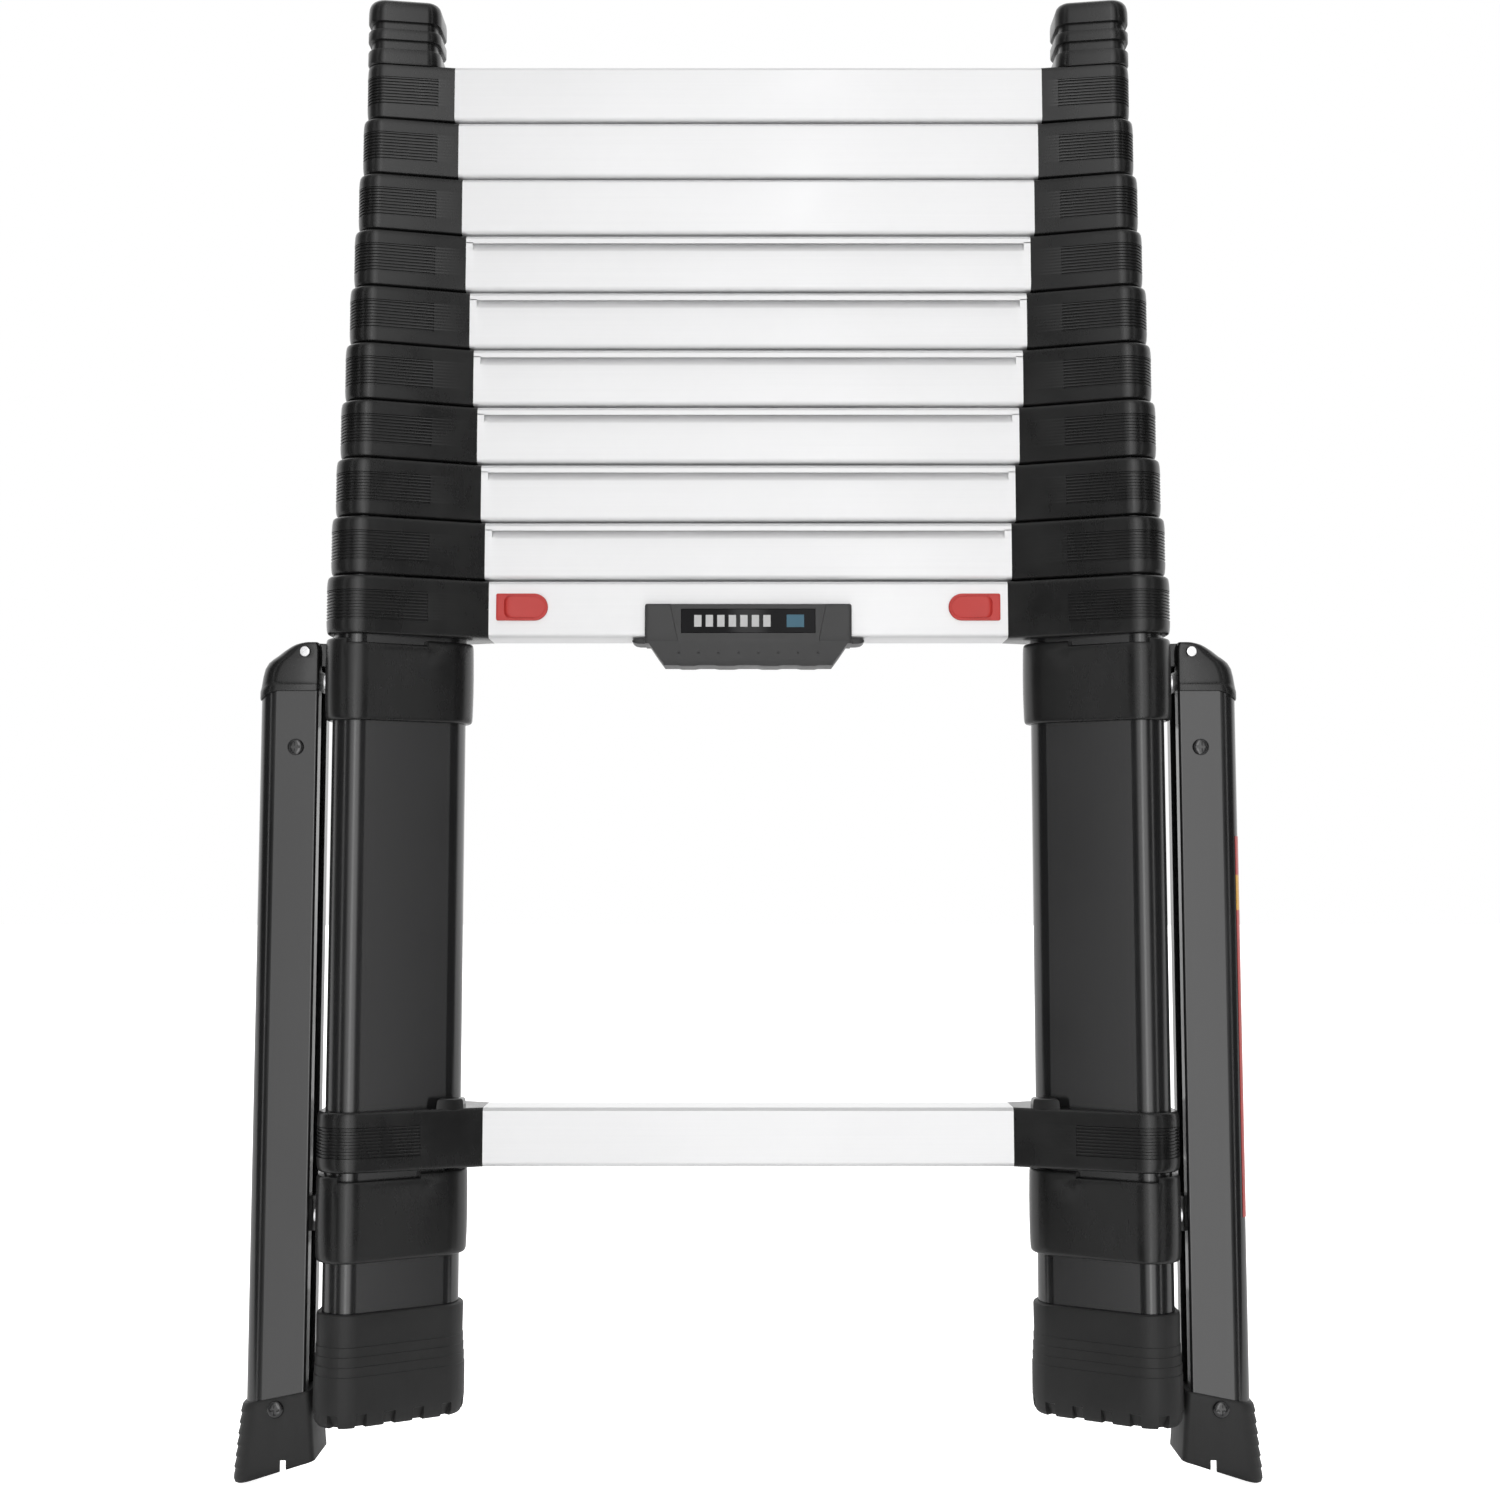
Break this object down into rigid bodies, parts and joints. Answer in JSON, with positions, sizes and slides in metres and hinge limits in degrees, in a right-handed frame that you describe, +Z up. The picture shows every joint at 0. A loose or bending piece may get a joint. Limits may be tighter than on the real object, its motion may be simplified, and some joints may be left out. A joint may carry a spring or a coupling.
{
  "type": "telescoping ladder",
  "caption": "Closed telescoping ladder with nested black triangular stile tubes, aluminium rungs, moulded connectors, red release sliders, a carry handle and folding outriggers.",
  "frame": {"origin": "on the floor under the ladder's centre, at the level of the stowed outrigger tips", "axes": "+Z up along the stiles, +X to the user's right along the rungs, -Y towards the user (the front, with the sliders and the handle)"},
  "size_m": [0.575, 0.0878, 0.8559],
  "materials": {
    "anodised_black": "satin black anodised aluminium tube",
    "bare_aluminium": "satin extruded aluminium",
    "black_plastic": "fine-grained glass-filled nylon",
    "grey_plastic": "soft grey-black moulded plastic",
    "gloss_black": "glossy printed plate",
    "red_plastic": "satin red moulded plastic",
    "foot_rubber": "dull moulded rubber",
    "plated_steel": "zinc-plated steel",
    "black_steel": "black-coated steel"
  },
  "bodies": {
    "base": {"outer_tubes": "anodised_black", "rung_10": "bare_aluminium", "rung_11": "bare_aluminium", "connectors_10": "black_plastic", "connectors_11": "black_plastic", "upper_brackets": "black_plastic", "lower_brackets": "black_plastic", "bracket_rivets": "plated_steel", "stile_feet": "foot_rubber", "carry_handle": "grey_plastic", "nameplate": "gloss_black", "pivot_pins": "plated_steel"},
    "section_9": {"tubes_9": "anodised_black", "connectors_9": "black_plastic", "rung_9": "bare_aluminium", "lock_pins_9": "plated_steel"},
    "section_8": {"tubes_8": "anodised_black", "connectors_8": "black_plastic", "rung_8": "bare_aluminium", "lock_pins_8": "plated_steel"},
    "section_7": {"tubes_7": "anodised_black", "connectors_7": "black_plastic", "rung_7": "bare_aluminium", "lock_pins_7": "plated_steel"},
    "section_6": {"tubes_6": "anodised_black", "connectors_6": "black_plastic", "rung_6": "bare_aluminium", "lock_pins_6": "plated_steel"},
    "section_5": {"tubes_5": "anodised_black", "connectors_5": "black_plastic", "rung_5": "bare_aluminium", "lock_pins_5": "plated_steel"},
    "section_4": {"tubes_4": "anodised_black", "connectors_4": "black_plastic", "rung_4": "bare_aluminium", "lock_pins_4": "plated_steel"},
    "section_3": {"tubes_3": "anodised_black", "connectors_3": "black_plastic", "rung_3": "bare_aluminium", "lock_pins_3": "plated_steel"},
    "section_2": {"tubes_2": "anodised_black", "connectors_2": "black_plastic", "rung_2": "bare_aluminium", "lock_pins_2": "plated_steel"},
    "section_1": {"tubes_1": "anodised_black", "connectors_1": "black_plastic", "rung_1": "bare_aluminium", "top_caps": "black_plastic"},
    "outrigger_left": {"outrigger_profile_left": "anodised_black", "outrigger_head_left": "black_plastic", "outrigger_foot_left": "foot_rubber", "outrigger_screws_left": "black_steel"},
    "release_left": {"red_button_left": "red_plastic", "lock_pin_left": "plated_steel"},
    "outrigger_right": {"outrigger_profile_right": "anodised_black", "outrigger_head_right": "black_plastic", "outrigger_foot_right": "foot_rubber", "outrigger_screws_right": "black_steel"},
    "release_right": {"red_button_right": "red_plastic", "lock_pin_right": "plated_steel"}
  },
  "joints": [
    {"name": "section_9_slide", "type": "slide", "parent": "base", "child": "section_9", "axis": [0, 0, 1], "range_m": [0, 0.2659]},
    {"name": "section_8_slide", "type": "slide", "parent": "section_9", "child": "section_8", "axis": [0, 0, 1], "range_m": [0, 0.2659]},
    {"name": "section_7_slide", "type": "slide", "parent": "section_8", "child": "section_7", "axis": [0, 0, 1], "range_m": [0, 0.2659]},
    {"name": "section_6_slide", "type": "slide", "parent": "section_7", "child": "section_6", "axis": [0, 0, 1], "range_m": [0, 0.2659]},
    {"name": "section_5_slide", "type": "slide", "parent": "section_6", "child": "section_5", "axis": [0, 0, 1], "range_m": [0, 0.2659]},
    {"name": "section_4_slide", "type": "slide", "parent": "section_5", "child": "section_4", "axis": [0, 0, 1], "range_m": [0, 0.2659]},
    {"name": "section_3_slide", "type": "slide", "parent": "section_4", "child": "section_3", "axis": [0, 0, 1], "range_m": [0, 0.2659]},
    {"name": "section_2_slide", "type": "slide", "parent": "section_3", "child": "section_2", "axis": [0, 0, 1], "range_m": [0, 0.2659]},
    {"name": "section_1_slide", "type": "slide", "parent": "section_2", "child": "section_1", "axis": [0, 0, 1], "range_m": [0, 0.2659]},
    {"name": "outrigger_left_hinge", "type": "hinge", "parent": "base", "child": "outrigger_left", "pos_m": [-0.255, 0, 0.466], "axis": [0, 1, 0], "range_deg": [0, 20.4]},
    {"name": "outrigger_right_hinge", "type": "hinge", "parent": "base", "child": "outrigger_right", "pos_m": [0.255, 0, 0.466], "axis": [0, -1, 0], "range_deg": [0, 20.4]},
    {"name": "release_left_slide", "type": "slide", "parent": "base", "child": "release_left", "axis": [1, 0, 0], "range_m": [0, 0.009], "stiffness_N_per_m": 600},
    {"name": "release_right_slide", "type": "slide", "parent": "base", "child": "release_right", "axis": [-1, 0, 0], "range_m": [0, 0.009], "stiffness_N_per_m": 600}
  ]
}
